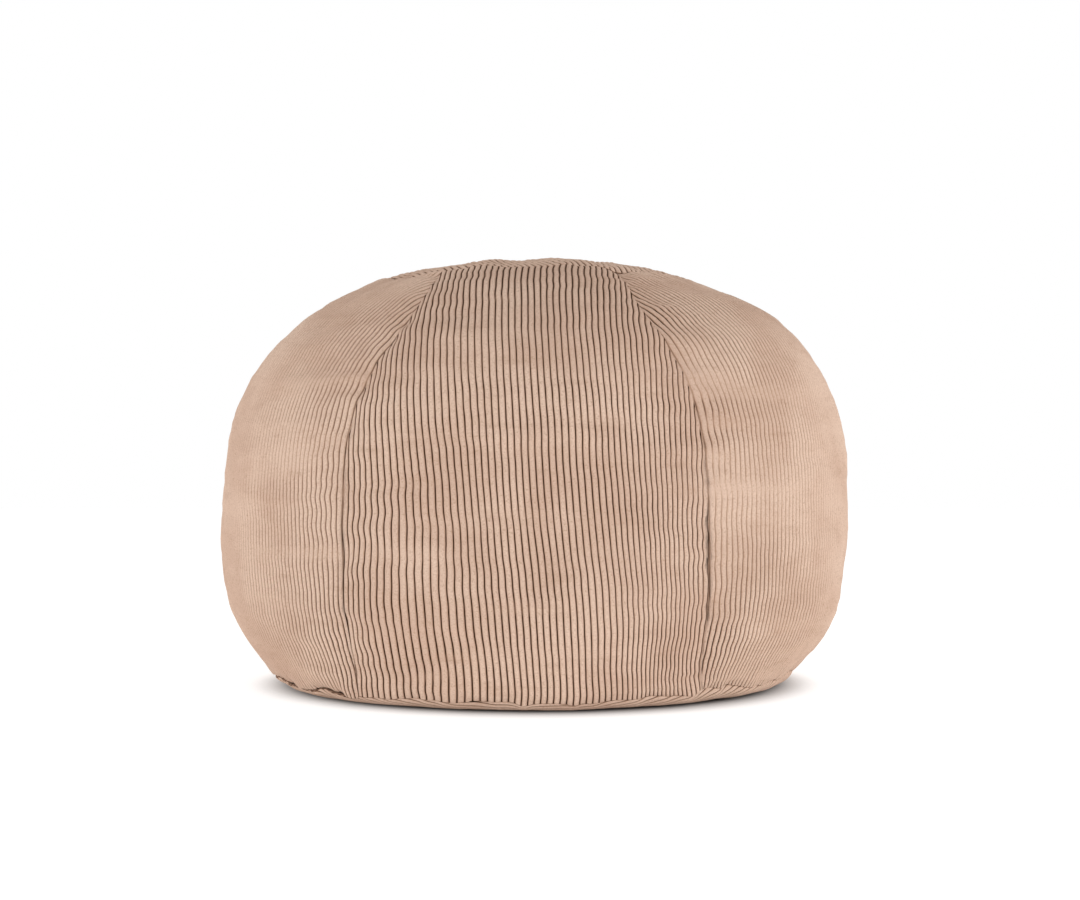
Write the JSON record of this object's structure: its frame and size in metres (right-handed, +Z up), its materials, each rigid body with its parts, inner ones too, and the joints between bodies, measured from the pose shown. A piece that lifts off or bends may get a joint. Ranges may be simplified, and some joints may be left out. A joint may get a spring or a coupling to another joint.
{
  "type": "bean bag chair",
  "caption": "Round low bean bag chair in wide-wale corduroy, sewn from side panels, a crown panel and a zipped base over a zipped liner full of beads.",
  "frame": {"origin": "middle of the flat patch of the base that rests on the floor", "axes": "+Z is up, -Y is the front, where one side panel faces the viewer, and the base zip runs along X"},
  "size_m": [0.88, 0.8798, 0.59],
  "materials": {
    "corduroy": "matte",
    "zip_tape": "matte",
    "zip_coil": "satin",
    "zip_metal": "satin",
    "label_satin": "satin",
    "liner_cloth": "matte",
    "liner_zip_tape": "matte",
    "liner_zip_coil": "satin",
    "liner_zip_metal": "satin",
    "beads": "matte"
  },
  "bodies": {
    "bag": {"side_panel_front": "corduroy", "side_panel_front_right": "corduroy", "side_panel_back_right": "corduroy", "side_panel_back": "corduroy", "side_panel_back_left": "corduroy", "side_panel_front_left": "corduroy", "crown_panel": "corduroy", "base_panel_front": "corduroy", "base_panel_back": "corduroy", "side_seam_allowances": "corduroy", "crown_seam_allowance": "corduroy", "base_seam_allowance": "corduroy", "zip_tape_front": "zip_tape", "zip_tape_back": "zip_tape", "zip_coil_front": "zip_coil", "zip_coil_back": "zip_coil", "zip_top_stops": "zip_metal", "zip_bottom_stop": "zip_metal", "care_label": "label_satin", "liner_panel_front": "liner_cloth", "liner_panel_front_right": "liner_cloth", "liner_panel_back_right": "liner_cloth", "liner_panel_back": "liner_cloth", "liner_panel_back_left": "liner_cloth", "liner_panel_front_left": "liner_cloth", "liner_top": "liner_cloth", "liner_base": "liner_cloth", "liner_zip_tape_front": "liner_zip_tape", "liner_zip_tape_back": "liner_zip_tape", "liner_zip_coil_front": "liner_zip_coil", "liner_zip_coil_back": "liner_zip_coil", "liner_zip_stops": "liner_zip_metal", "bead_fill": "beads"},
    "zip_slider": {"zip_slider": "zip_metal"},
    "zip_pull": {"zip_pull": "zip_metal"},
    "liner_zip_slider": {"liner_zip_slider": "liner_zip_metal"}
  },
  "joints": [
    {"name": "zip_slide", "type": "slide", "parent": "bag", "child": "zip_slider", "axis": [-1, 0, 0], "range_m": [0, 0.46]},
    {"name": "pull_swing", "type": "hinge", "parent": "zip_slider", "child": "zip_pull", "pos_m": [0.236, 0, 0.0023], "axis": [0, -1, 0], "range_deg": [0, 160]},
    {"name": "liner_zip_slide", "type": "slide", "parent": "bag", "child": "liner_zip_slider", "axis": [-1, 0, 0], "range_m": [0, 0.281]}
  ]
}
